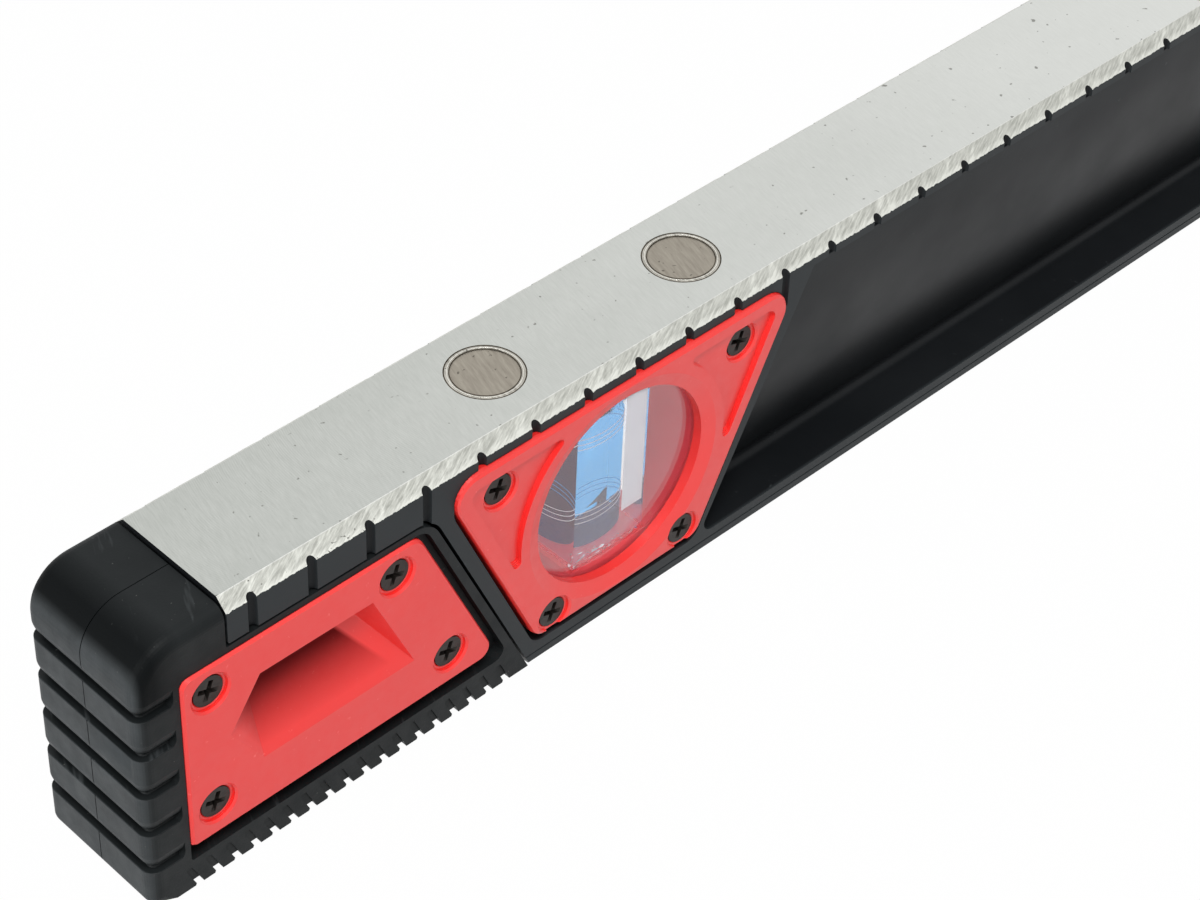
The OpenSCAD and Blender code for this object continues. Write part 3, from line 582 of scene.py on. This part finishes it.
def backing_strips(place, material):
    """Pale strip beside the liquid, close behind each face of the block."""
    depth = block_half(place).y - STRIP_INSET * MM
    hand = -1 if place == "right" else 1
    up = Vector((0, 0, (STRIP_ENDS[1] - STRIP_ENDS[0]) * MM))
    made = bmesh.new()
    for side in (-1, 1):
        toward = -side * hand
        corner = Vector((toward * STRIP_SPAN[0] * MM, side * depth, STRIP_ENDS[0] * MM))
        along = Vector((toward * (STRIP_SPAN[1] - STRIP_SPAN[0]) * MM, 0, 0))
        sheet(made, place, corner, along, up, (1, 1), 0.0, 1)
    add_mesh(place + "_backing_strips", made, material, False)


def block_seats(place, material):
    """Red seats that hold the block's ends."""
    half = block_half(place)
    wide, deep = half.x - SEAT_INSET * MM, half.y - SEAT_INSET * MM
    made = bmesh.new()
    for side in (-1, 1):
        corner = Vector((-wide, -deep, side * (half.z - SEAT_DEPTH * MM)))
        along, across = Vector((2 * wide, 0, 0)), Vector((0, 2 * deep, 0))
        sheet(made, place, corner, along, across, SEAT_STEPS, SEAT_RIPPLE * MM, 3 + side)
    add_mesh(place + "_block_seats", made, material, False)


def window_panes(place, material):
    """Clear panes that sit at the back of the bezels' openings."""
    middle = unit_frame(place).translation
    at = Matrix.Translation((middle.x, 0, middle.z)) @ Matrix.Rotation(math.pi / 2, 4, "X")
    for face in FACES:
        low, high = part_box("%s_%s_window" % (place, face))
        out, back = (-1, high.y) if face == "front" else (1, low.y)
        inner = back + out * PANE_PLAY * MM
        outer = inner + out * WINDOW_T * MM
        r, axis = (high.x - low.x) / 2, AXIS_R * MM
        outline = [(axis, -inner), (r, -inner), (r, -outer), (axis, -outer)]
        made = turned_solid(outline, WIDE_STEPS, at)
        piece = add_mesh("%s_%s_pane" % (place, face), made, material)
        piece.data.set_sharp_from_angle(angle=math.radians(30))
        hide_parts("%s_%s_window" % (place, face))


def sawn_glints(place, material):
    """Painted glints: bright metal flakes along the block's sawn lower edge, larger and higher towards one
    corner.
    """
    chance = random.Random(21)
    half = block_half(place)
    turn = unit_frame(place)
    made = bmesh.new()
    for side in (-1, 1):
        for number in range(GLINT_COUNT):
            share = number / GLINT_COUNT
            tall = GLINT_REACH[0] * (1 - share) + GLINT_REACH[1] * share
            growth = 0.95 + 0.8 * (1 - share) ** 3 - 0.3 * share
            x = -half.x * (1 - 2 * share) * 0.9
            z = -half.z + (0.2 + tall * chance.random() ** 1.6) * MM
            y = side * (half.y - (GLINT_INSET[0] + GLINT_INSET[1] * chance.random()) * MM)
            r = (GLINT_R[0] + GLINT_R[1] * chance.random() ** 2) * growth * MM
            tilt = Matrix.Rotation(chance.uniform(-GLINT_TILT, GLINT_TILT), 3, "X")
            tilt = tilt @ Matrix.Rotation(chance.uniform(-GLINT_TILT, GLINT_TILT), 3, "Z")
            corners = []
            for k in range(4):
                a = math.pi / 2 * k + chance.uniform(-0.6, 0.6)
                reach = r * chance.uniform(0.5, 1.5)
                flat = Vector((reach * math.cos(a), 0, 0.55 * reach * math.sin(a)))
                corners.append(made.verts.new(turn @ (Vector((x, y, z)) + tilt @ flat)))
            made.faces.new(corners)
    add_mesh(place + "_sawn_glints", made, material, False)


def flat_bubble(made, place):
    """Air at the top of an upright vial, over a surface with a curled rim."""
    top = vial_half(place)
    level = top - (BUBBLE_D - 0.05) * MM
    r, axis = (VIAL_BORE_R - 0.1) * MM, AXIS_R * MM
    outline = [(axis, top), (r, top), (r, level + 0.7 * MM), (r - 0.4 * MM, level + 0.2 * MM),
               (r - 1.2 * MM, level), (axis, level)]
    revolve(made, outline, ROUND_STEPS, unit_frame(place))


def long_bubble(made):
    """Long bubble under the top of the flat vial's bore, flattened against it."""
    place = unit_frame("middle")
    length, depth, width = (size * MM for size in LONG_BUBBLE)
    top = (VIAL_BORE_R - 0.25) * MM
    rows, columns = 24, 32
    grid = []
    for i in range(rows + 1):
        polar = math.pi * i / rows
        size = math.sin(polar) ** 0.7
        z = -math.cos(polar) * length / 2
        ring = []
        for k in range(columns):
            a = 2 * math.pi * k / columns
            y = width / 2 * size * math.sin(a)
            roof = math.sqrt(top ** 2 - y * y) - top
            rise = min(depth / 2 * size * math.cos(a), depth / 2 + roof)
            ring.append(Vector((-(top - depth / 2 + rise), y, z)))
        grid.append([made.verts.new(place @ p) for p in ring])
    for i in range(rows):
        for k in range(columns):
            j = (k + 1) % columns
            made.faces.new((grid[i][k], grid[i][j], grid[i + 1][j], grid[i + 1][k]))


def place_camera():
    data = bpy.data.cameras.new("camera")
    data.lens = LENS_MM
    data.sensor_width = 36.0
    data.sensor_fit = "HORIZONTAL"
    data.clip_start = 0.01
    camera = bpy.data.objects.new("camera", data)
    bpy.context.scene.collection.objects.link(camera)
    right, up = Vector(CAMERA_RIGHT).normalized(), Vector(CAMERA_UP).normalized()
    turn = Matrix((right, up, right.cross(up))).transposed().to_4x4()
    camera.matrix_world = Matrix.Translation(CAMERA_AT) @ turn
    bpy.context.scene.camera = camera


def seen_directly(tree):
    """1 for rays that show a surface as it is: from the camera, from gloss and through glass."""
    path = tree.nodes.new("ShaderNodeLightPath")
    total = path.outputs["Is Camera Ray"]
    for name in ("Is Glossy Ray", "Is Transmission Ray"):
        add = tree.nodes.new("ShaderNodeMath")
        add.operation = "MAXIMUM"
        tree.links.new(total, add.inputs[0])
        tree.links.new(path.outputs[name], add.inputs[1])
        total = add.outputs[0]
    return total


def build_world():
    world = bpy.data.worlds.new("studio")
    bpy.context.scene.world = world
    world.use_nodes = True
    tree = world.node_tree
    back = tree.nodes["Background"]
    back.inputs["Color"].default_value = (1.0, 1.0, 1.0, 1.0)
    direction = tree.nodes.new("ShaderNodeSeparateXYZ")
    tree.links.new(tree.nodes.new("ShaderNodeTexCoord").outputs["Generated"], direction.inputs[0])
    dome = tree.nodes.new("ShaderNodeMapRange")
    tree.links.new(direction.outputs[2], dome.inputs["Value"])
    dome.inputs["From Max"].default_value = SKY_HIGH_FROM
    dome.inputs["To Min"].default_value = SKY_LOW
    dome.inputs["To Max"].default_value = SKY_HIGH
    strength = tree.nodes.new("ShaderNodeMapRange")
    tree.links.new(seen_directly(tree), strength.inputs["Value"])
    tree.links.new(dome.outputs[0], strength.inputs["To Min"])
    strength.inputs["To Max"].default_value = 1.0
    tree.links.new(strength.outputs[0], back.inputs["Strength"])


def build_floor():
    mesh = bpy.data.meshes.new("floor")
    corners = [(x * FLOOR_REACH, y * FLOOR_REACH, 0) for x, y in CORNER_SIGNS]
    mesh.from_pydata(corners, [], [(0, 1, 2, 3)])
    floor = bpy.data.objects.new("floor", mesh)
    floor.location.z = -FLOOR_DROP * MM
    bpy.context.scene.collection.objects.link(floor)
    material = bpy.data.materials.new("pale_floor")
    material.use_nodes = True
    tree = material.node_tree
    diffuse = tree.nodes["Principled BSDF"]
    diffuse.inputs["Base Color"].default_value = srgb(FLOOR_GREY, FLOOR_GREY, FLOOR_GREY)
    diffuse.inputs["Roughness"].default_value = 0.9
    diffuse.inputs["Specular IOR Level"].default_value = 0.0
    glow = tree.nodes.new("ShaderNodeEmission")
    glow.inputs["Strength"].default_value = 1.0
    blend = tree.nodes.new("ShaderNodeMixShader")
    share = tree.nodes.new("ShaderNodeMath")
    share.operation = "MULTIPLY"
    tree.links.new(seen_directly(tree), share.inputs[0])
    share.inputs[1].default_value = FLOOR_SEEN
    tree.links.new(share.outputs[0], blend.inputs[0])
    tree.links.new(diffuse.outputs[0], blend.inputs[1])
    tree.links.new(glow.outputs[0], blend.inputs[2])
    tree.links.new(blend.outputs[0], tree.nodes["Material Output"].inputs["Surface"])
    mesh.materials.append(material)


def add_light(name, at, size, power):
    data = bpy.data.lights.new(name, "AREA")
    data.shape = "SQUARE"
    data.size = size
    data.energy = power
    light = bpy.data.objects.new(name, data)
    light.location = at
    light.rotation_mode = "QUATERNION"
    light.rotation_quaternion = (Vector(AIM) - Vector(at)).to_track_quat("-Z", "Y")
    bpy.context.scene.collection.objects.link(light)


def build_studio():
    bpy.context.scene.view_settings.view_transform = "Standard"
    place_camera()
    build_world()
    build_floor()
    add_light("key", *KEY_LAMP)
    add_light("left", *LEFT_LAMP)


def magnet_rings(number, dark, bright):
    """Dark joint round a magnet, a bright turned lip in its cup and a dark joint round the cup."""
    low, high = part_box("magnet_%d" % number)
    cup_low, cup_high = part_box("magnet_cup_%d" % number)
    inner = (high.x - low.x) / 2
    outer = (cup_high.x - cup_low.x) / 2
    middle = (cup_low + cup_high) / 2
    at = Matrix.Translation((middle.x, middle.y, FACE_Z * MM))
    for name, edge, (gap, thick), material in (("inner_joint", inner, INNER_JOINT, dark),
                                               ("lip", inner, TURNED_LIP, bright),
                                               ("outer_joint", outer, OUTER_JOINT, dark)):
        made = bmesh.new()
        section = ring_section(edge + gap * MM, 0.0, thick * MM, RING_FLATNESS)
        revolve(made, section, WIDE_STEPS, at)
        bmesh.ops.recalc_face_normals(made, faces=made.faces)
        add_mesh("magnet_%d_%s" % (number, name), made, material)


def dress_solids():
    reds = (srgb(228, 30, 26), srgb(232, 35, 30))
    red = red_material("red_plastic_satin", *reds)
    plate_red = red_material("plate_red_satin", *reds, scoop=True)
    deep_red = red_material("barrel_red", srgb(253, 76, 90), srgb(255, 86, 99), glow=0.06)
    rubber = rubber_material()
    screws = screw_material()
    assign("beam", beam_material())
    for screw_group in ("cover_plate_screws", "bezel_screws"):
        assign(screw_group, screws)
    for end in ENDS:
        assign(end + "_end_cap", rubber)
        for face in FACES:
            assign("%s_%s_cover_plate" % (end, face), plate_red)
    for place in PLACES:
        assign(place + "_vial_barrel", deep_red)
        for face in FACES:
            assign("%s_%s_bezel" % (place, face), red)
    cup = ground_steel_material("cup_steel", srgb(150, 146, 136), srgb(206, 204, 196), 0.36)
    face = ground_steel_material("magnet_face", srgb(140, 133, 122), srgb(164, 158, 146), 0.42)
    dark = ground_steel_material("joint_shadow", srgb(42, 38, 32), srgb(84, 74, 58), 0.6)
    bright = ground_steel_material("turned_lip", srgb(214, 211, 202), srgb(240, 238, 230), 0.25)
    for number in range(1, 5):
        magnet_rings(number, dark, bright)
        assign("magnet_cup_%d" % number, cup)
        assign("magnet_%d" % number, face)


def dress_vials():
    clear = clear_material("clear_acrylic", (0.985, 0.985, 0.99, 1.0), 1.49)
    liquid = clear_material("blue_liquid", (0.12, 0.49, 0.93, 1.0), 1.0)
    lines = line_material()
    strip = strip_material()
    seat = red_material("seat_red", srgb(232, 58, 84), srgb(246, 96, 116), glow=0.3)
    for place in PLACES:
        vial_block(place, clear)
        vial_liquid(place, liquid)
        backing_strips(place, strip)
        block_seats(place, seat)
        window_panes(place, clear)
        sawn_glints(place, strip)
        vial_rings(place, lines)


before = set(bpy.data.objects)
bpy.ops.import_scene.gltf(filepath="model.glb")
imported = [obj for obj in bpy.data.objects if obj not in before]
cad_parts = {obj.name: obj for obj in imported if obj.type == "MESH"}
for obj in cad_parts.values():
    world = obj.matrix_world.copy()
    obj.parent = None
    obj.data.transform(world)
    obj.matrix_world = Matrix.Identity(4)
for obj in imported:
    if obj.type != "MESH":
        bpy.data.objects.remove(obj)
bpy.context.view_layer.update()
build_studio()
dress_solids()
dress_vials()
